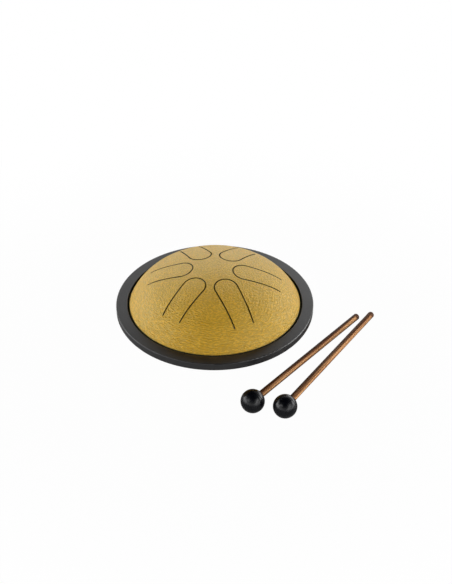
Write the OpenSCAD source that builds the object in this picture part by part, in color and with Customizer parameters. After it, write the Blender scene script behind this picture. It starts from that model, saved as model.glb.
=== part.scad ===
// Steel tongue drum with two rubber-headed mallets lying beside it.
// +Z is up and the drum's axis is the Z axis.
// The origin is the centre of the sound hole, on the drum's underside.
// +X is to the player's right and -Y towards the player.

/* [Shells] */
// Height of the dome's top above the seam
dome_rise = 39.9; // [35:0.1:45]
// Radius of the arc across the crown of each shell
crown_r = 129.1; // [115:0.1:145]
// Radius of the arc that turns the crown down to the seam
shoulder_r = 54; // [45:0.5:65]
// Widest radius of the shoulder's arc, which lies below the seam
shoulder_reach = 83; // [75:0.1:92]
// Radius of the flat land on the underside
land_r = 41.7; // [36:0.1:50]
// Thickness of the pressed steel sheet
sheet_t = 1.2; // [0.8:0.1:1.6]
// Radius of the bend from the wall out to the flange
bend_r = 1.5; // [1:0.1:2.5]
// Flat width of both flanges, from the bend to their edge
flange_w = 4.8; // [4:0.1:6.5]
// Radius of the sound hole in the underside
sound_hole_r = 20; // [15:0.5:24]
// Height of the weld bead that joins the flanges at their edges
weld_h = 1.8; // [1.2:0.1:2.4]
// How far the weld bead stands out from the flanges
weld_out = 0.6; // [0.3:0.1:1]

/* [Tongues] */
// Width of the slot cut round each tongue
slot_w = 1.2; // [0.8:0.1:2]
// Radius of the round tip, to the middle of the slot
tongue_tip_r = 10.4; // [9:0.1:11]
// Distance from the drum's axis to the tips, to the middle of the slot
tip_gap_r = 18.1; // [17:0.1:22]
// Distance from the end of the longest slot to the bend
slot_end_gap = 15.6; // [12:0.1:20]
// Angle by which each leg of a slot closes in on its tongue
leg_taper = 2.3; // [0:0.1:4]
// Turn of the first tongue from the X axis
first_tongue_angle = -5; // [-30:0.1:30]
// Shift of the tongue pattern along the X axis
tongue_shift_x = -1.6; // [-3:0.1:3]

/* [Rim ring] */
// Thickness of the rubber outside the weld bead
ring_wall = 4.9; // [3:0.1:7]
// Gap between the sheet's bend and the ring's lips
lip_gap = 0.1; // [0.05:0.05:1]
// Height of the ring
ring_h = 8; // [7:0.5:12]
// Rounding of the ring's outer top edge
ring_top_round = 0.6; // [0.3:0.1:1]
// Rounding of the ring's outer bottom edge
ring_bottom_round = 2.3; // [1:0.1:3]
// Rounding of the ring's lips
lip_round = 0.5; // [0.3:0.1:1]

/* [Feet] */
// Radius of a foot's pad
foot_r = 7; // [5:0.5:9]
// Height of a foot's pad
foot_h = 4; // [3:0.5:6]
// Rounding of a pad's lower edge
foot_round = 1; // [0.5:0.1:1.5]
// Radius of the neck that fills the hole in the sheet
foot_neck_r = 2.5; // [2:0.1:3]
// Radius of the bulb that holds the foot from inside
foot_bulb_r = 3.6; // [3.3:0.1:4.5]
// Height of the bulb above the sheet
foot_bulb_h = 4; // [3:0.5:6]

/* [Mallets] */
// Radius of a mallet's rubber head
head_r = 10.4; // [9:0.1:13]
// How much of the ball is missing at the flat where the stick goes in
head_flat_depth = 1.8; // [1.2:0.1:2.5]
// Rounding between the head's ball and its flat
head_flat_round = 0.8; // [0.4:0.1:1.2]
// Radius of a mallet's wooden stick
stick_r = 3.1; // [2.5:0.1:4]
// Distance from the head's centre to the far end of the stick
stick_reach = 163.5; // [140:0.5:200]
// Depth of the stick in the head, past the head's centre
stick_socket_past = 3; // [0:0.5:5]
// Rounding of the stick's ends
stick_round = 1.4; // [0.8:0.1:2]
// Turn of the inner mallet from the X axis
inner_mallet_angle = 51; // [45:0.1:60]
// Angle between the two mallets
mallet_spread = 5.7; // [5:0.1:9]
// Sideways place of the inner mallet's head
inner_head_x = 32.9; // [28:0.1:40]
// Place of the inner mallet's head in front of the drum's axis
inner_head_y = 102.3; // [101:0.1:115]
// Gap between the two sticks, across from the inner stick's far end
stick_gap = 2.8; // [2:0.1:6]
// How far the outer stick's end lies beyond the inner stick's
stick_stagger = 11.4; // [0:0.1:15]

/* [Hidden] */

$fn = 96;

// Shared overrun of every cut
over = 1;

// Reach of each tongue's slot as a share of the longest, anticlockwise from
// the tongue on the player's right: the shortest tongues give the top notes
leg_reach_share = [0.945, 0.84, 0.81, 0.895, 0.955, 1];
tongue_count = len(leg_reach_share);

// Turns of the feet from the X axis, front right first
foot_turns = [-45, 45, 135, 225];

// Centres of the arcs, seen from the seam and along the shell's radius.
// The shoulder's arc starts where it is tangent to the crown's arc.
crown_centre_z = dome_rise - crown_r;
shoulder_centre_x = shoulder_reach - shoulder_r;
shoulder_centre_z = crown_centre_z
  + sqrt(pow(crown_r - shoulder_r, 2) - pow(shoulder_centre_x, 2));
crown_half_angle = asin(shoulder_centre_x / (crown_r - shoulder_r));
bend_centre_z = sheet_t + bend_r;
bend_centre_x = shoulder_centre_x
  + sqrt(pow(shoulder_r + bend_r, 2) - pow(bend_centre_z - shoulder_centre_z, 2));
longest_leg_r = bend_centre_x - slot_end_gap;

// Depth of the underside below the seam, where the crown is pressed flat
base_drop = crown_centre_z + sqrt(pow(crown_r, 2) - pow(land_r, 2));
seam_z = base_drop;
floor_z = -foot_h;

// What the bend carries, from the inside out
flange_r = bend_centre_x + flange_w;
lip_r = bend_centre_x + lip_gap;
ring_r = flange_r + weld_out + ring_wall;

// The feet stand on the middle of the flat land round the sound hole
foot_circle_r = (sound_hole_r + land_r) / 2;

// Colours
gold = "#c9973f";
rubber = "#2b2b2d";
wood = "#a5673a";
weld_steel = "#8a8a88";

// Part of the plane that a shell's wall lies in, out to its flange
module section_quadrant() {
  square([bend_centre_x, dome_rise + over]);
}

// Area under a shell's sheet, drawn in by inset on every side.
// The crown's wedge, the shoulder's disc and the hollow side of the bend
// meet at the points where their arcs are tangent.
module dome_area(inset) {
  wedge_reach = 2 * crown_r;
  below_z = min(shoulder_centre_z, 0) - over;
  intersection() {
    section_quadrant();
    union() {
      intersection() {
        translate([0, crown_centre_z]) circle(crown_r - inset);
        polygon([
          [0, crown_centre_z],
          [wedge_reach * sin(crown_half_angle),
            crown_centre_z + wedge_reach * cos(crown_half_angle)],
          [0, crown_centre_z + wedge_reach]
        ]);
      }
      translate([shoulder_centre_x, shoulder_centre_z]) circle(shoulder_r - inset);
      difference() {
        polygon([
          [shoulder_centre_x, below_z],
          [bend_centre_x, below_z],
          [bend_centre_x, bend_centre_z],
          [shoulder_centre_x, shoulder_centre_z]
        ]);
        translate([bend_centre_x, bend_centre_z]) circle(bend_r + inset);
      }
    }
  }
}

// Flange at a shell's edge, with its joint face on the seam
module flange_section() {
  translate([bend_centre_x, 0]) square([flange_r - bend_centre_x, sheet_t]);
}

module top_shell_blank() {
  rotate_extrude() {
    difference() {
      dome_area(0);
      dome_area(sheet_t);
    }
    flange_section();
  }
}

// The lower shell comes from the same die, with its crown pressed flat
module bottom_shell_blank() {
  rotate_extrude() {
    difference() {
      intersection() {
        dome_area(0);
        square([bend_centre_x, base_drop]);
      }
      intersection() {
        dome_area(sheet_t);
        square([bend_centre_x, base_drop - sheet_t]);
      }
    }
    flange_section();
  }
}

// The slot round a tongue is cut in two steps: the arc round the tip first,
// then two legs that are tangent to it and close in towards the root
module tip_cut() {
  translate([tip_gap_r + tongue_tip_r, 0, 0])
    rotate([0, 0, 90 - leg_taper])
      rotate_extrude(angle = 180 + 2 * leg_taper)
        translate([tongue_tip_r - slot_w / 2, 0]) square([slot_w, dome_rise]);
}

module leg_cuts(leg_end) {
  leg_run = (leg_end - tip_gap_r - tongue_tip_r) / cos(leg_taper);
  translate([tip_gap_r + tongue_tip_r, 0, 0])
    for (side = [0, 1])
      mirror([0, side, 0])
        rotate([0, 0, -leg_taper])
          translate([0, tongue_tip_r, 0]) {
            translate([0, -slot_w / 2, 0]) cube([leg_run, slot_w, dome_rise]);
            translate([leg_run, 0, 0]) cylinder(h = dome_rise, r = slot_w / 2);
          }
}

// Places a cut at one tongue, above the flange
module at_tongue(i) {
  translate([tongue_shift_x, 0, sheet_t + over])
    rotate([0, 0, first_tongue_angle + i * 360 / tongue_count])
      children();
}

module top_shell() {
  color(gold)
    translate([0, 0, seam_z])
      difference() {
        difference() {
          top_shell_blank();
          for (i = [0 : tongue_count - 1])
            at_tongue(i) tip_cut();
        }
        for (i = [0 : tongue_count - 1])
          at_tongue(i) leg_cuts(longest_leg_r * leg_reach_share[i]);
      }
}

module bottom_shell() {
  color(gold)
    difference() {
      translate([0, 0, seam_z]) mirror([0, 0, 1]) bottom_shell_blank();
      translate([0, 0, -over]) cylinder(h = sheet_t + 2 * over, r = sound_hole_r);
      for (turn = foot_turns)
        rotate([0, 0, turn])
          translate([foot_circle_r, 0, -over])
            cylinder(h = sheet_t + 2 * over, r = foot_neck_r);
    }
}

// Bead round the flanges' edges, rounded on its outside
module seam_weld() {
  bead_r = (pow(weld_h / 2, 2) + pow(weld_out, 2)) / (2 * weld_out);
  color(weld_steel)
    translate([0, 0, seam_z])
      rotate_extrude()
        intersection() {
          translate([flange_r + weld_out - bead_r, 0]) circle(bead_r);
          translate([flange_r, -weld_h / 2]) square([weld_out + over, weld_h]);
        }
}

// Outer outline of the ring's section, with its edges rounded
module ring_outline() {
  difference() {
    translate([lip_r, -ring_h / 2]) square([ring_r - lip_r, ring_h]);
    corner_cut([ring_r, ring_h / 2], [1, 1], ring_top_round);
    corner_cut([ring_r, -ring_h / 2], [1, -1], ring_bottom_round);
    corner_cut([lip_r, ring_h / 2], [-1, 1], lip_round);
    corner_cut([lip_r, -ring_h / 2], [-1, -1], lip_round);
  }
}

// What a rounding takes off a square corner. The corner points along way.
module corner_cut(corner, way, round_r) {
  translate(corner)
    turn_corner(way)
      difference() {
        translate([-round_r, -round_r]) square(round_r + over);
        translate([-round_r, -round_r]) circle(round_r);
      }
}

// Mirrors a corner drawn towards +X +Y so that it points along way
module turn_corner(way) {
  mirror([way[0] < 0 ? 1 : 0, 0]) mirror([0, way[1] < 0 ? 1 : 0]) children();
}

// The ring grips both flanges and leaves room for the weld bead
module rim_ring() {
  color(rubber)
    translate([0, 0, seam_z])
      rotate_extrude()
        difference() {
          ring_outline();
          translate([lip_r - over, -sheet_t])
            square([flange_r + weld_out - lip_r + over, 2 * sheet_t]);
        }
}

// Push-in foot: a pad below the sheet, a neck through it and a bulb above it
module foot(turn) {
  lead_in = foot_bulb_h / 2;
  color(rubber)
    rotate([0, 0, turn])
      translate([foot_circle_r, 0, 0])
        rotate_extrude() {
          difference() {
            translate([0, -foot_h]) square([foot_r, foot_h]);
            corner_cut([foot_r, -foot_h], [1, -1], foot_round);
          }
          square([foot_neck_r, sheet_t]);
          translate([0, sheet_t])
            polygon([
              [0, 0],
              [foot_bulb_r, 0],
              [foot_bulb_r, foot_bulb_h - lead_in],
              [foot_neck_r, foot_bulb_h],
              [0, foot_bulb_h]
            ]);
        }
}

module foot_front_right() { foot(foot_turns[0]); }
module foot_back_right() { foot(foot_turns[1]); }
module foot_back_left() { foot(foot_turns[2]); }
module foot_front_left() { foot(foot_turns[3]); }

// Places of the heads. The outer mallet follows from the inner one's far end.
inner_along = [cos(inner_mallet_angle), sin(inner_mallet_angle)];
inner_aside = [sin(inner_mallet_angle), -cos(inner_mallet_angle)];
outer_mallet_angle = inner_mallet_angle + mallet_spread;
outer_along = [cos(outer_mallet_angle), sin(outer_mallet_angle)];
inner_head = [inner_head_x, -inner_head_y];
outer_head = inner_head
  + (stick_reach + stick_stagger) * inner_along
  + (2 * stick_r + stick_gap) * inner_aside
  - stick_reach * outer_along;

// A mallet is drawn along X from its head's centre. Laid down, it rests on
// the floor with its head and with the lower edge of its stick's far end.
mallet_pitch = asin((head_r - stick_round)
    / norm([stick_reach - stick_round, stick_r - stick_round]))
  - atan2(stick_r - stick_round, stick_reach - stick_round);

module lay_mallet(head, turn) {
  translate([head[0], head[1], floor_z + head_r])
    rotate([0, mallet_pitch, turn])
      rotate([0, 90, 0])
        children();
}

// Ball with a flat where the stick goes in, and the stick's blind socket
module mallet_head() {
  head_flat_at = head_r - head_flat_depth;
  flat_edge_r = sqrt(pow(head_r - head_flat_round, 2)
    - pow(head_flat_at - head_flat_round, 2));
  color(rubber)
    rotate_extrude()
      difference() {
        union() {
          intersection() {
            circle(head_r);
            translate([0, -head_r])
              square([head_r, head_r + head_flat_at - head_flat_round]);
          }
          translate([0, head_flat_at - head_flat_round])
            square([flat_edge_r, head_flat_round]);
          translate([flat_edge_r, head_flat_at - head_flat_round])
            intersection() {
              circle(head_flat_round);
              square(head_flat_round);
            }
        }
        translate([0, -stick_socket_past])
          square([stick_r, stick_socket_past + head_r]);
      }
}

// Turned stick with rounded ends
module mallet_stick() {
  color(wood)
    rotate_extrude()
      difference() {
        translate([0, -stick_socket_past])
          square([stick_r, stick_reach + stick_socket_past]);
        corner_cut([stick_r, stick_reach], [1, 1], stick_round);
      }
}

module inner_mallet_head() {
  lay_mallet(inner_head, inner_mallet_angle) mallet_head();
}
module inner_mallet_stick() {
  lay_mallet(inner_head, inner_mallet_angle) mallet_stick();
}
module outer_mallet_head() {
  lay_mallet(outer_head, outer_mallet_angle) mallet_head();
}
module outer_mallet_stick() {
  lay_mallet(outer_head, outer_mallet_angle) mallet_stick();
}

top_shell();
bottom_shell();
seam_weld();
rim_ring();
foot_front_right();
foot_back_right();
foot_back_left();
foot_front_left();
inner_mallet_head();
inner_mallet_stick();
outer_mallet_head();
outer_mallet_stick();
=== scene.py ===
import math

import bpy
from mathutils import Matrix, Vector


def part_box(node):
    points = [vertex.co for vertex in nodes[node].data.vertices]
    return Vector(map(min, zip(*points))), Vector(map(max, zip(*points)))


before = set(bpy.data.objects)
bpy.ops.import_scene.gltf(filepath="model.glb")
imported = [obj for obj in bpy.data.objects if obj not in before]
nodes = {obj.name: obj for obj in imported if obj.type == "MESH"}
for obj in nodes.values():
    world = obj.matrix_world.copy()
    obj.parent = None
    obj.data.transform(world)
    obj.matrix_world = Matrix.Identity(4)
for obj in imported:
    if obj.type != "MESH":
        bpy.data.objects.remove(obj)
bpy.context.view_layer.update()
bpy.ops.object.select_all(action="DESELECT")
print("frame loaded:", len(nodes), "nodes")


# Small helpers for shader trees

def addNode(tree, kind, settings=None, values=None):
    made = tree.nodes.new(kind)
    for name, value in (settings or {}).items():
        setattr(made, name, value)
    for name, value in (values or {}).items():
        made.inputs[name].default_value = value
    return made


def wire(tree, start, end):
    tree.links.new(start, end)


def addMath(tree, operation, first, second=None, clamp=False):
    made = addNode(tree, "ShaderNodeMath", {"operation": operation, "use_clamp": clamp})
    for socket, value in zip(made.inputs, (first, second)):
        if isinstance(value, bpy.types.NodeSocket):
            wire(tree, value, socket)
        elif value is not None:
            socket.default_value = value
    return made.outputs[0]


def addShare(tree, start, extra, share):
    # start plus a share of extra
    return addMath(tree, "ADD", start, addMath(tree, "MULTIPLY", extra, share))


def addRamp(tree, value, low, high, start=0.0, end=1.0):
    # values from low to high become start to end, eased at both ends
    made = addNode(tree, "ShaderNodeMapRange", {"interpolation_type": "SMOOTHSTEP"})
    wire(tree, value, made.inputs["Value"])
    made.inputs["From Min"].default_value = low
    made.inputs["From Max"].default_value = high
    made.inputs["To Min"].default_value = start
    made.inputs["To Max"].default_value = end
    return made.outputs[0]


def mixColors(tree, factor, first, second):
    # inputs 6 and 7 of the node are its two colours, and output 2 is the mixed one
    made = addNode(tree, "ShaderNodeMix", {"data_type": "RGBA"})
    sockets = (made.inputs["Factor"], made.inputs[6], made.inputs[7])
    for socket, value in zip(sockets, (factor, first, second)):
        if isinstance(value, bpy.types.NodeSocket):
            wire(tree, value, socket)
        elif isinstance(value, tuple):
            socket.default_value = (*value, 1)
        else:
            socket.default_value = value
    return made.outputs[2]


def mixShaders(tree, factor, first, second):
    made = addNode(tree, "ShaderNodeMixShader")
    for socket, output in zip(made.inputs, (factor, first, second)):
        wire(tree, output, socket)
    return made.outputs[0]


def splitAxes(tree, vector):
    parts = addNode(tree, "ShaderNodeSeparateXYZ")
    wire(tree, vector, parts.inputs[0])
    return parts.outputs


def newGroup(name, inputs, outputs):
    # an input given as None is a vector, and one given as a number starts at that number
    group = bpy.data.node_groups.new(name, "ShaderNodeTree")
    for label, value in inputs.items():
        kind = "NodeSocketVector" if value is None else "NodeSocketFloat"
        socket = group.interface.new_socket(label, in_out="INPUT", socket_type=kind)
        if value is not None:
            socket.default_value = value
    for label in outputs:
        group.interface.new_socket(label, in_out="OUTPUT", socket_type="NodeSocketFloat")
    return group, group.nodes.new("NodeGroupInput"), group.nodes.new("NodeGroupOutput")


def placeGroup(tree, group, values):
    made = addNode(tree, "ShaderNodeGroup", {"node_tree": group})
    for name, value in values.items():
        if isinstance(value, bpy.types.NodeSocket):
            wire(tree, value, made.inputs[name])
        else:
            made.inputs[name].default_value = value
    return made.outputs


def newMaterial(name, plain):
    # plain holds the shader's values that are the same all over the surface
    material = bpy.data.materials.new(name)
    material.use_nodes = True
    tree = material.node_tree
    shader = tree.nodes["Principled BSDF"]
    for socket, value in plain.items():
        shader.inputs[socket].default_value = value
    return material, tree, shader


def addBump(tree, shader, height, strength, depth):
    bump = addNode(tree, "ShaderNodeBump", values={"Strength": strength, "Distance": depth})
    wire(tree, height, bump.inputs["Height"])
    wire(tree, bump.outputs[0], shader.inputs["Normal"])


def dress(node, material):
    mesh = nodes[node].data
    mesh.materials.clear()
    mesh.materials.append(material)


# Camera, set from the photograph by fitting the ring, the slots and the mallets

cameraFacts = {
    "frameWidth": 452, "frameHeight": 584,      # the photograph, in pixels
    "pixelsPerMetre": 1092.97,                  # at the aim point
    "distance": 0.9118,
    "elevation": 36.577,                        # degrees above the table
    "aimPixel": (214.835, 299.927),             # where the aim point is seen
    "sensorWidth": 36, "nearest": 0.02, "furthest": 60,
}


def makeCamera(facts):
    aimPoint = Vector((0, 0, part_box("rim_ring")[1].z))   # drum's axis, at the ring's top
    tilt = math.radians(facts["elevation"])
    ahead = Vector((0, math.cos(tilt), -math.sin(tilt)))
    up = Vector((0, math.sin(tilt), math.cos(tilt)))
    right = Vector((1, 0, 0))
    asideX = (facts["aimPixel"][0] - facts["frameWidth"] / 2) / facts["pixelsPerMetre"]
    asideY = (facts["frameHeight"] / 2 - facts["aimPixel"][1]) / facts["pixelsPerMetre"]
    place = aimPoint - ahead * facts["distance"] - right * asideX - up * asideY
    bpy.ops.object.camera_add(location=place)
    camera = bpy.context.object
    camera.name = "photoCamera"
    camera.rotation_euler = Matrix((right, up, -ahead)).transposed().to_euler()
    camera.data.sensor_width = facts["sensorWidth"]
    focalPixels = facts["pixelsPerMetre"] * facts["distance"]
    camera.data.lens = focalPixels * facts["sensorWidth"] / facts["frameHeight"]
    camera.data.clip_start = facts["nearest"]
    camera.data.clip_end = facts["furthest"]
    camera.data.dof.use_dof = False
    bpy.context.scene.camera = camera


makeCamera(cameraFacts)
print("camera set")

# Effects that more than one finish uses, each with its own values

grainBuild = {
    "coarseScale": 0.8, "pebbleScale": 1.0, "fineScale": 1.6,     # times the group's Scale
    "pebbleSmoothness": 0.7,
    "mottleCoarse": 0.5, "mottleFine": 0.5, "heightPebbles": 0.6, "heightFine": 0.4,
}
handlingBuild = {"cloudFrom": 0.42, "cloudTo": 0.68, "speckRadius": 0.22}
faceBuild = {"edgeOn": 0.2, "faceOn": 0.5}     # cosine of a face's tilt from the crown centre's ray
woodBuild = {
    "bandStretch": 0.02, "streakStretch": 0.012,                  # scale along the grain
    "figureFrom": 0.34, "figureTo": 0.66,
    "noPoresAbove": 0.9, "shareGain": 0.6, "poreSoftness": 0.08,
}


def makeGrainGroup(build):
    # fine even grain: Mottle varies softly, Height is the pebbled surface itself
    group, start, end = newGroup("fineGrain", {"Vector": None, "Scale": 800.0}, ["Mottle", "Height"])
    coarse = addNode(group, "ShaderNodeTexNoise", values={"Detail": 3.0, "Roughness": 0.6})
    pebbles = addNode(group, "ShaderNodeTexVoronoi", {"feature": "SMOOTH_F1"},
                      {"Smoothness": build["pebbleSmoothness"]})
    fine = addNode(group, "ShaderNodeTexNoise", values={"Detail": 2.0, "Roughness": 0.5})
    for node, scale in ((coarse, "coarseScale"), (pebbles, "pebbleScale"), (fine, "fineScale")):
        wire(group, start.outputs["Vector"], node.inputs["Vector"])
        wire(group, addMath(group, "MULTIPLY", start.outputs["Scale"], build[scale]), node.inputs["Scale"])
    mottle = addMath(group, "MULTIPLY", coarse.outputs["Fac"], build["mottleCoarse"])
    wire(group, addShare(group, mottle, fine.outputs["Fac"], build["mottleFine"]), end.inputs["Mottle"])
    raised = addMath(group, "SUBTRACT", 1.0, pebbles.outputs["Distance"])
    height = addMath(group, "MULTIPLY", raised, build["heightPebbles"])
    wire(group, addShare(group, height, fine.outputs["Fac"], build["heightFine"]), end.inputs["Height"])
    return group


def makeHandlingGroup(build):
    # marks of use: Smudge is a soft cloud where hands rub, Specks are rare points of dust
    group, start, end = newGroup(
        "handling", {"Vector": None, "Cloud Scale": 25.0, "Speck Scale": 900.0, "Speck Share": 0.08},
        ["Smudge", "Specks"])
    cloud = addNode(group, "ShaderNodeTexNoise", values={"Detail": 4.0, "Roughness": 0.55})
    wire(group, start.outputs["Vector"], cloud.inputs["Vector"])
    wire(group, start.outputs["Cloud Scale"], cloud.inputs["Scale"])
    smudge = addRamp(group, cloud.outputs["Fac"], build["cloudFrom"], build["cloudTo"])
    wire(group, smudge, end.inputs["Smudge"])
    dots = addNode(group, "ShaderNodeTexVoronoi", {"feature": "F1"})
    wire(group, start.outputs["Vector"], dots.inputs["Vector"])
    wire(group, start.outputs["Speck Scale"], dots.inputs["Scale"])
    near = addMath(group, "LESS_THAN", dots.outputs["Distance"], build["speckRadius"])
    chance = addNode(group, "ShaderNodeSeparateColor")
    wire(group, dots.outputs["Color"], chance.inputs[0])
    chosen = addMath(group, "LESS_THAN", chance.outputs[0], start.outputs["Speck Share"])
    wire(group, addMath(group, "MULTIPLY", near, chosen), end.inputs["Specks"])
    return group


def makeSheetFaceGroup(build):
    # which face of the pressed sheet a point is on: Outside is the outer one,
    # Cut Wall the narrow wall of a slot or a hole
    group, start, end = newGroup(
        "sheetFace", {"Position": None, "Normal": None, "Crown Centre": None}, ["Outside", "Cut Wall"])
    ray = addNode(group, "ShaderNodeVectorMath", {"operation": "SUBTRACT"})
    wire(group, start.outputs["Position"], ray.inputs[0])
    wire(group, start.outputs["Crown Centre"], ray.inputs[1])
    unit = addNode(group, "ShaderNodeVectorMath", {"operation": "NORMALIZE"})
    wire(group, ray.outputs[0], unit.inputs[0])
    facing = addNode(group, "ShaderNodeVectorMath", {"operation": "DOT_PRODUCT"})
    wire(group, unit.outputs[0], facing.inputs[0])
    wire(group, start.outputs["Normal"], facing.inputs[1])
    outside = addRamp(group, facing.outputs["Value"], build["edgeOn"], build["faceOn"])
    wire(group, outside, end.inputs["Outside"])
    notInside = addRamp(group, facing.outputs["Value"], -build["faceOn"], -build["edgeOn"])
    wire(group, addMath(group, "SUBTRACT", notInside, outside, clamp=True), end.inputs["Cut Wall"])
    return group


def makeWoodGroup(build):
    # straight-grained hardwood along X: Figure is the broad bands, Pores the fine dark streaks
    group, start, end = newGroup(
        "straightWood", {"Vector": None, "Band Scale": 520.0, "Pore Scale": 640.0, "Pore Share": 0.5},
        ["Figure", "Pores", "Height"])
    longBands = addNode(group, "ShaderNodeMapping", values={"Scale": (build["bandStretch"], 1.0, 1.0)})
    wire(group, start.outputs["Vector"], longBands.inputs["Vector"])
    bands = addNode(group, "ShaderNodeTexNoise", values={"Detail": 2.0, "Roughness": 0.5})
    wire(group, longBands.outputs[0], bands.inputs["Vector"])
    wire(group, start.outputs["Band Scale"], bands.inputs["Scale"])
    figure = addRamp(group, bands.outputs["Fac"], build["figureFrom"], build["figureTo"])
    wire(group, figure, end.inputs["Figure"])
    fineStreaks = addNode(group, "ShaderNodeMapping", values={"Scale": (build["streakStretch"], 1.0, 1.0)})
    wire(group, start.outputs["Vector"], fineStreaks.inputs["Vector"])
    pores = addNode(group, "ShaderNodeTexNoise", values={"Detail": 1.0, "Roughness": 0.5})
    wire(group, fineStreaks.outputs[0], pores.inputs["Vector"])
    wire(group, start.outputs["Pore Scale"], pores.inputs["Scale"])
    edge = addMath(group, "SUBTRACT", build["noPoresAbove"],
                   addMath(group, "MULTIPLY", start.outputs["Pore Share"], build["shareGain"]))
    pastEdge = addMath(group, "SUBTRACT", pores.outputs["Fac"], edge)
    wire(group, addMath(group, "DIVIDE", pastEdge, build["poreSoftness"], clamp=True), end.inputs["Pores"])
    wire(group, bands.outputs["Fac"], end.inputs["Height"])
    return group


grainGroup = makeGrainGroup(grainBuild)
handlingGroup = makeHandlingGroup(handlingBuild)
sheetFaceGroup = makeSheetFaceGroup(faceBuild)
woodGroup = makeWoodGroup(woodBuild)

# Gold paint on both shells: a satin coat with a pebbled grain, over steel

goldPaint = {
    "lightTone": (0.76, 0.402, 0.0012), "darkTone": (0.55, 0.291, 0.0004),
    "pitFrom": 0.47, "pitTo": 0.65,                # grain heights of the dark pits and the light tops
    # painted shade: the cut walls of slots and holes, and a band in the groove by the seam, are painted
    # near-black, where shade falls
    "insideTone": (0.16, 0.100, 0.016), "cutWallShade": (0.008, 0.006, 0.004),
    "grooveShade": (0.010, 0.008, 0.006), "grooveFrom": 0.0030, "grooveTo": 0.0039,     # from the seam
    "roughness": 0.435, "smudgeRoughness": 0.05, "mottleRoughness": 0.08,
    "specular": 0.56, "specularTint": (0.80, 1.0, 0.61, 1), "density": 1.85,
    "coat": 0.18, "coatRoughness": 0.45, "cloudScale": 18.0,
    "grainScale": 760.0, "grainStrength": 1.0, "grainDepth": 0.0014, "grainStretchRadius": 0.030,
    "crownRadius": 0.1291,
}


def runAround(tree, position, middle, stretchRadius):
    # coordinates that draw a pattern out around the drum's axis, past the stretch radius
    x, y, z = splitAxes(tree, position)
    level = addNode(tree, "ShaderNodeCombineXYZ")
    wire(tree, x, level.inputs["X"])
    wire(tree, y, level.inputs["Y"])
    reach = addNode(tree, "ShaderNodeVectorMath", {"operation": "LENGTH"})
    wire(tree, level.outputs[0], reach.inputs[0])
    share = addMath(tree, "DIVIDE", stretchRadius,
                    addMath(tree, "MAXIMUM", reach.outputs["Value"], stretchRadius))
    fromSeam = addMath(tree, "ABSOLUTE", addMath(tree, "SUBTRACT", z, middle))
    spun = addNode(tree, "ShaderNodeCombineXYZ")
    wire(tree, addMath(tree, "MULTIPLY", x, share), spun.inputs["X"])
    wire(tree, addMath(tree, "MULTIPLY", y, share), spun.inputs["Y"])
    wire(tree, addMath(tree, "SUBTRACT", reach.outputs["Value"], fromSeam), spun.inputs["Z"])
    return spun.outputs[0], fromSeam


def makeGoldPaint(name, crownCentre, look):
    material, tree, shader = newMaterial(name, {
        "Specular IOR Level": look["specular"], "Specular Tint": look["specularTint"],
        "IOR": look["density"], "Coat Roughness": look["coatRoughness"],
    })
    place = addNode(tree, "ShaderNodeTexCoord")
    face = placeGroup(tree, sheetFaceGroup, {
        "Position": place.outputs["Object"], "Normal": place.outputs["Normal"],
        "Crown Centre": crownCentre,
    })
    spun, fromSeam = runAround(tree, place.outputs["Object"], seamHeight, look["grainStretchRadius"])
    grain = placeGroup(tree, grainGroup, {"Vector": spun, "Scale": look["grainScale"]})
    marks = placeGroup(tree, handlingGroup, {
        "Vector": place.outputs["Object"], "Cloud Scale": look["cloudScale"],
    })
    raised = addRamp(tree, grain["Height"], look["pitFrom"], look["pitTo"])
    tone = mixColors(tree, raised, look["darkTone"], look["lightTone"])
    tone = mixColors(tree, face["Outside"], look["insideTone"], tone)
    # painted shade: near-black on the cut walls and in the groove by the seam, which also lose their coat
    # there and turn fully rough
    tone = mixColors(tree, face["Cut Wall"], tone, look["cutWallShade"])
    shadedGrooveMask = addRamp(tree, fromSeam, look["grooveFrom"], look["grooveTo"], 1.0, 0.0)
    tone = mixColors(tree, shadedGrooveMask, tone, look["grooveShade"])
    wire(tree, tone, shader.inputs["Base Color"])
    paintedShadeMask = addMath(tree, "MAXIMUM", shadedGrooveMask, face["Cut Wall"])
    awayFromShade = addMath(tree, "SUBTRACT", 1.0, paintedShadeMask)
    wire(tree, addMath(tree, "MULTIPLY", awayFromShade, look["coat"]), shader.inputs["Coat Weight"])
    rough = addShare(tree, look["roughness"], marks["Smudge"], look["smudgeRoughness"])
    rough = addShare(tree, rough, grain["Mottle"], look["mottleRoughness"])
    wire(tree, addMath(tree, "MAXIMUM", rough, paintedShadeMask), shader.inputs["Roughness"])
    addBump(tree, shader, grain["Height"], look["grainStrength"], look["grainDepth"])
    return material


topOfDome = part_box("top_shell")[1].z
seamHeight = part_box("top_shell")[0].z
upperCentre = (0, 0, topOfDome - goldPaint["crownRadius"])
lowerCentre = (0, 0, 2 * seamHeight - upperCentre[2])
dress("top_shell", makeGoldPaint("goldPaintUpper", upperCentre, goldPaint))
dress("bottom_shell", makeGoldPaint("goldPaintLower", lowerCentre, goldPaint))
print("shells painted")

# Steel of the weld bead between the flanges

weldSteel = {
    "light": (0.50, 0.49, 0.47), "dark": (0.22, 0.20, 0.18), "toneFrom": 0.35, "toneTo": 0.65,
    "heatTint": (0.30, 0.20, 0.12), "heatShare": 0.6, "cloudScale": 60.0,
    "roughness": 0.38, "smudgeRoughness": 0.2,
    "grainScale": 1400.0, "grainStrength": 0.6, "grainDepth": 0.0002,
}


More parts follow.
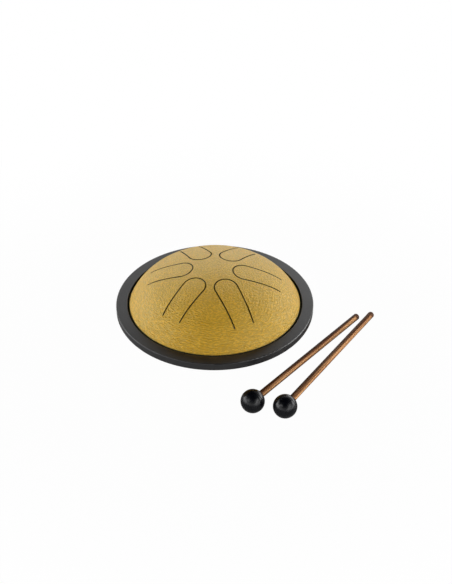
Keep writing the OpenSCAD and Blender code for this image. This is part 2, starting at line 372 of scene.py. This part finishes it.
def makeWeldSteel(look):
    material, tree, shader = newMaterial("weldSteel", {"Metallic": 1.0})
    place = addNode(tree, "ShaderNodeTexCoord").outputs["Object"]
    grain = placeGroup(tree, grainGroup, {"Vector": place, "Scale": look["grainScale"]})
    marks = placeGroup(tree, handlingGroup, {"Vector": place, "Cloud Scale": look["cloudScale"]})
    mottle = addRamp(tree, grain["Mottle"], look["toneFrom"], look["toneTo"])
    tone = mixColors(tree, mottle, look["dark"], look["light"])
    heated = addMath(tree, "MULTIPLY", marks["Smudge"], look["heatShare"])
    wire(tree, mixColors(tree, heated, tone, look["heatTint"]), shader.inputs["Base Color"])
    rough = addShare(tree, look["roughness"], marks["Smudge"], look["smudgeRoughness"])
    wire(tree, rough, shader.inputs["Roughness"])
    addBump(tree, shader, grain["Height"], look["grainStrength"], look["grainDepth"])
    return material


dress("seam_weld", makeWeldSteel(weldSteel))
print("weld bead finished")

# Moulded rubber: the rim ring, the feet and the mallets' heads, each with its own values

ringRubber = {
    "base": (0.0055, 0.0055, 0.0060), "rubbed": (0.0095, 0.0095, 0.0100), "dust": (0.10, 0.10, 0.105),
    "roughness": 0.30, "grainScale": 800.0, "grainStrength": 0.30, "cloudScale": 30.0, "dustShare": 0.05,
    "gloss": 0.82, "density": 1.6,
}
footRubber = {
    "base": (0.018, 0.018, 0.019), "rubbed": (0.045, 0.043, 0.040), "dust": (0.20, 0.19, 0.18),
    "roughness": 0.62, "grainScale": 1900.0, "grainStrength": 0.35, "cloudScale": 140.0, "dustShare": 0.12,
    "gloss": 0.4, "density": 1.5,
}
headRubber = {
    "base": (0.0006, 0.0009, 0.0024), "rubbed": (0.0014, 0.0018, 0.0038), "dust": (0.05, 0.05, 0.06),
    "roughness": 0.22, "grainScale": 1700.0, "grainStrength": 0.10, "cloudScale": 110.0, "dustShare": 0.03,
    "gloss": 0.40, "density": 1.5,
}
rubberFinish = {
    # the same for all of them
    "dustStrength": 0.5, "smudgeRoughness": 0.08, "mottleRoughness": 0.06, "grainDepth": 0.00008,
}


def makeRubber(name, look, finish=rubberFinish):
    material, tree, shader = newMaterial(name, {"Specular IOR Level": look["gloss"], "IOR": look["density"]})
    place = addNode(tree, "ShaderNodeTexCoord").outputs["Object"]
    grain = placeGroup(tree, grainGroup, {"Vector": place, "Scale": look["grainScale"]})
    marks = placeGroup(tree, handlingGroup, {
        "Vector": place, "Cloud Scale": look["cloudScale"], "Speck Share": look["dustShare"],
    })
    tone = mixColors(tree, marks["Smudge"], look["base"], look["rubbed"])
    dusty = addMath(tree, "MULTIPLY", marks["Specks"], finish["dustStrength"])
    tone = mixColors(tree, dusty, tone, look["dust"])
    wire(tree, tone, shader.inputs["Base Color"])
    rough = addShare(tree, look["roughness"], marks["Smudge"], finish["smudgeRoughness"])
    rough = addShare(tree, rough, grain["Mottle"], finish["mottleRoughness"])
    wire(tree, rough, shader.inputs["Roughness"])
    addBump(tree, shader, grain["Height"], look["grainStrength"], finish["grainDepth"])
    return material, tree, shader, tone, rough


dress("rim_ring", makeRubber("ringRubber", ringRubber)[0])
footMaterial = makeRubber("footRubber", footRubber)[0]
for foot in ("foot_front_right", "foot_back_right", "foot_back_left", "foot_front_left"):
    dress(foot, footMaterial)
print("ring and feet finished")

# Mallets: each finish is laid out along its own stick, from the head's centre

mallets = {
    # shift takes another piece of the same wood for each stick
    "inner": {"head": "inner_mallet_head", "stick": "inner_mallet_stick",
              "shift": (0, 0, 0), "poreShare": 0.66},
    "outer": {"head": "outer_mallet_head", "stick": "outer_mallet_stick",
              "shift": (0.4, 0.03, 0.02), "poreShare": 0.67},
}
headMarks = {
    # the flat's pale grey is partly the rubber's own colour and partly a painted highlight
    "flatAt": 0.0084, "flatFade": 0.0008, "flatGreyAndSheen": (0.11, 0.112, 0.12),
    "mouldLineAt": 0.0012, "mouldLineHalf": 0.00035, "mouldLineEdge": 0.00056,
    "mouldLineTone": (0.0006, 0.0006, 0.0008), "mouldLineRoughness": 0.5,
}
stickWood = {
    "light": (0.80, 0.420, 0.180), "dark": (0.29, 0.102, 0.032),
    "pore": (0.040, 0.013, 0.004), "poreStrength": 0.50, "poreRoughness": 0.25,
    # painted shade: one flank and the underside of each stick are painted dark brown, as if shaded
    "flankShade": (0.060, 0.020, 0.005), "flankShadeShare": 0.92, "flankShadeWaver": 0.0012,
    "flankShadeFrom": -0.0019, "flankShadeTo": 0.0001,       # across, from the stick's axis
    "underShadeFrom": -0.0014, "underShadeTo": 0.0006,       # up, from the stick's axis
    "endGrain": (0.12, 0.050, 0.022), "endFade": 0.0032,
    "roughness": 0.55, "gloss": 0.12, "reliefStrength": 0.1, "reliefDepth": 0.00006,
}


def centreOf(node):
    low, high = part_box(node)
    return (low + high) / 2


def addAlongStick(tree, mallet):
    # coordinates with X along the stick and zero at the head's centre
    start = centreOf(mallet["head"])
    way = (centreOf(mallet["stick"]) - start).normalized()
    place = addNode(tree, "ShaderNodeTexCoord")
    along = addNode(tree, "ShaderNodeMapping", {"vector_type": "TEXTURE"},
                    {"Location": start, "Rotation": way.to_track_quat("X", "Z").to_euler()})
    wire(tree, place.outputs["Object"], along.inputs["Vector"])
    return along.outputs[0]


def makeHeadRubber(name, mallet, look):
    # rubber with a paler flat where the stick goes in, partly its own grey and partly a painted highlight,
    # and a fine mould line
    material, tree, shader, tone, rough = makeRubber(name, headRubber)
    along = splitAxes(tree, addAlongStick(tree, mallet))["X"]
    flat = addRamp(tree, along, look["flatAt"] - look["flatFade"], look["flatAt"])
    tone = mixColors(tree, flat, tone, look["flatGreyAndSheen"])
    fromLine = addMath(tree, "ABSOLUTE", addMath(tree, "SUBTRACT", along, look["mouldLineAt"]))
    line = addRamp(tree, fromLine, look["mouldLineHalf"], look["mouldLineEdge"], 1.0, 0.0)
    wire(tree, mixColors(tree, line, tone, look["mouldLineTone"]), shader.inputs["Base Color"])
    wire(tree, addShare(tree, rough, line, look["mouldLineRoughness"]), shader.inputs["Roughness"])
    return material


def makeStickWood(name, mallet, look):
    material, tree, shader = newMaterial(name, {"Specular IOR Level": look["gloss"]})
    along = addAlongStick(tree, mallet)
    shifted = addNode(tree, "ShaderNodeVectorMath", {"operation": "ADD"}, {1: mallet["shift"]})
    wire(tree, along, shifted.inputs[0])
    wood = placeGroup(tree, woodGroup, {"Vector": shifted.outputs[0], "Pore Share": mallet["poreShare"]})
    tone = mixColors(tree, wood["Figure"], look["dark"], look["light"])
    lengthwise, across, upward = splitAxes(tree, along)
    # painted shade: one flank and the underside turn dark brown, as if shaded, the flank's edge wavering
    # with the figure
    waver = addMath(tree, "MULTIPLY", addMath(tree, "SUBTRACT", wood["Figure"], 0.5), look["flankShadeWaver"])
    wavered = addMath(tree, "SUBTRACT", across, waver)
    flankShade = addRamp(tree, wavered, look["flankShadeFrom"], look["flankShadeTo"])
    under = addRamp(tree, upward, look["underShadeFrom"], look["underShadeTo"], 1.0, 0.0)
    flankShade = addMath(tree, "MAXIMUM", flankShade, under)
    tone = mixColors(tree, addMath(tree, "MULTIPLY", flankShade, look["flankShadeShare"]), tone, look["flankShade"])
    pored = addMath(tree, "MULTIPLY", wood["Pores"], look["poreStrength"])
    tone = mixColors(tree, pored, tone, look["pore"])
    # end grain shows from twice the way to the stick's middle, which is just short of its tip
    reach = 2 * (centreOf(mallet["stick"]) - centreOf(mallet["head"])).length
    ending = addRamp(tree, lengthwise, reach - look["endFade"], reach)
    wire(tree, mixColors(tree, ending, tone, look["endGrain"]), shader.inputs["Base Color"])
    rough = addShare(tree, look["roughness"], wood["Pores"], look["poreRoughness"])
    wire(tree, rough, shader.inputs["Roughness"])
    addBump(tree, shader, wood["Height"], look["reliefStrength"], look["reliefDepth"])
    return material


for key, mallet in mallets.items():
    dress(mallet["head"], makeHeadRubber(key + "HeadRubber", mallet, headMarks))
    dress(mallet["stick"], makeStickWood(key + "StickWood", mallet, stickWood))
print("mallets finished")

# Studio: six softboxes, a strip light, four pale walls and a white floor

softboxes = {
    # turn 0 is to the right and 90 behind the drum, and height is in degrees too
    "leftSoftbox": {"turn": 192, "height": 16, "size": (1.0, 0.8), "power": 6.2},
    "backLeftSoftbox": {"turn": 160, "height": 20, "size": (0.9, 0.8), "power": 8.0},
    "backRightSoftbox": {"turn": 68, "height": 31, "size": (0.62, 0.36), "power": 1.1},
    "rightSoftbox": {"turn": 16, "height": 18, "size": (0.9, 0.8), "power": 8.2},
    "frontLeftSoftbox": {"turn": 220, "height": 35, "size": (0.8, 0.5), "power": 3.0},
    "stripLight": {"turn": 312, "height": 22, "size": (1.9, 0.30), "power": 7.0, "roll": 40},
    "frontRightSoftbox": {"turn": 318, "height": 33, "size": (0.8, 0.5), "power": 1.8},
}
lampRig = {"distance": 1.75, "aim": (0.02, -0.02, 0.03)}
room = {
    # each wall's brightness near the floor and higher up, and the heights where they change
    "right": (2.78, 0.0), "back": (2.90, 0.74), "left": (2.20, 0.12), "front": (0.95, 0.16),
    "knee": (0.20, 0.45), "top": (0.57, 0.67), "ceiling": 0.01, "leastLevel": 0.000001,
}
floorPaper = {
    "size": 12, "tone": (0.42, 0.42, 0.42, 1),
    "glowShare": 0.98, "reflectedGlowShare": 0.044,
    "shadeRadius": 0.030, "clearRadius": 0.046,    # no glow inside the first, all of it past the second
    "whiteFrom": 0.16, "whiteTo": 0.42,            # radii where the paper turns plain white
}


def makeSoftboxes(boxes, rig):
    aim = Vector(rig["aim"])
    for name, box in boxes.items():
        turn, height = math.radians(box["turn"]), math.radians(box["height"])
        outward = Vector((math.cos(turn) * math.cos(height),
                          math.sin(turn) * math.cos(height), math.sin(height)))
        bpy.ops.object.light_add(type="AREA", location=outward * rig["distance"])
        lamp = bpy.context.object
        lamp.name = name
        lamp.data.shape = "RECTANGLE"
        lamp.data.size, lamp.data.size_y = box["size"]
        lamp.data.energy = box["power"]
        facing = (lamp.location - aim).to_track_quat("Z", "Y").to_matrix()
        roll = Matrix.Rotation(math.radians(box.get("roll", 0)), 3, "Z")
        lamp.rotation_euler = (facing @ roll).to_euler()


def makeWorld(look):
    # white all round for the camera and clear surfaces;
    # light and gloss see four walls under a dark ceiling
    world = bpy.data.worlds.new("studioRoom")
    bpy.context.scene.world = world
    world.use_nodes = True
    tree = world.node_tree
    tree.nodes.clear()
    x, y, z = splitAxes(tree, addNode(tree, "ShaderNodeTexCoord").outputs["Generated"])
    level = addMath(tree, "ADD", addMath(tree, "MULTIPLY", x, x), addMath(tree, "MULTIPLY", y, y))
    level = addMath(tree, "MAXIMUM", level, look["leastLevel"])
    glow = 0.0
    for side, sign, low, high in ((x, 1.0, *look["right"]), (y, 1.0, *look["back"]),
                                  (x, -1.0, *look["left"]), (y, -1.0, *look["front"])):
        toward = addMath(tree, "MAXIMUM", addMath(tree, "MULTIPLY", side, sign), 0.0)
        share = addMath(tree, "DIVIDE", addMath(tree, "MULTIPLY", toward, toward), level)
        wall = addMath(tree, "MULTIPLY", share, addRamp(tree, z, *look["knee"], low, high))
        glow = addMath(tree, "ADD", glow, wall)
    glow = addMath(tree, "MULTIPLY", glow, addRamp(tree, z, *look["top"], 1.0, 0.0))
    glow = addMath(tree, "ADD", glow, addRamp(tree, z, *look["top"], 0.0, look["ceiling"]))
    light = addNode(tree, "ShaderNodeBackground", values={"Color": (1, 1, 1, 1)})
    wire(tree, glow, light.inputs["Strength"])
    white = addNode(tree, "ShaderNodeBackground", values={"Color": (1, 1, 1, 1), "Strength": 1.0})
    path = addNode(tree, "ShaderNodeLightPath").outputs
    seen = addMath(tree, "MAXIMUM", path["Is Camera Ray"], path["Is Transmission Ray"])
    out = addNode(tree, "ShaderNodeOutputWorld")
    wire(tree, mixShaders(tree, seen, light.outputs[0], white.outputs[0]), out.inputs[0])


def makeFloor(look):
    bpy.ops.mesh.primitive_plane_add(size=look["size"], location=(0, 0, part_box("foot_front_right")[0].z))
    floor = bpy.context.object
    floor.name = "studioFloor"
    material = bpy.data.materials.new("floorPaper")
    material.use_nodes = True
    tree = material.node_tree
    tree.nodes.clear()
    place = addNode(tree, "ShaderNodeTexCoord")
    reach = addNode(tree, "ShaderNodeVectorMath", {"operation": "LENGTH"})
    wire(tree, place.outputs["Object"], reach.inputs[0])
    fromDrum = reach.outputs["Value"]
    outFromDrum = addRamp(tree, fromDrum, look["shadeRadius"], look["clearRadius"])
    path = addNode(tree, "ShaderNodeLightPath").outputs
    further = addRamp(tree, fromDrum, look["whiteFrom"], look["whiteTo"], look["glowShare"], 1.0)
    direct = addMath(tree, "MULTIPLY", path["Is Camera Ray"], further)
    clear = addMath(tree, "MAXIMUM", path["Is Glossy Ray"], path["Is Transmission Ray"])
    mirrored = addMath(tree, "MULTIPLY", clear, look["reflectedGlowShare"])
    share = addMath(tree, "MULTIPLY", addMath(tree, "MAXIMUM", direct, mirrored), outFromDrum)
    paper = addNode(tree, "ShaderNodeBsdfDiffuse", values={"Color": look["tone"]})
    glow = addNode(tree, "ShaderNodeEmission", values={"Color": (1, 1, 1, 1), "Strength": 1.0})
    seenAbove = mixShaders(tree, share, paper.outputs[0], glow.outputs[0])
    # from below the paper is clear, so that the underside can be looked at
    below = addNode(tree, "ShaderNodeNewGeometry").outputs["Backfacing"]
    seenBelow = addMath(tree, "MULTIPLY", below, path["Is Camera Ray"])
    clearPaper = addNode(tree, "ShaderNodeBsdfTransparent")
    out = addNode(tree, "ShaderNodeOutputMaterial")
    wire(tree, mixShaders(tree, seenBelow, seenAbove, clearPaper.outputs[0]), out.inputs["Surface"])
    floor.data.materials.append(material)


makeSoftboxes(softboxes, lampRig)
makeWorld(room)
makeFloor(floorPaper)
bpy.context.scene.view_settings.view_transform = "Standard"
print("studio ready")
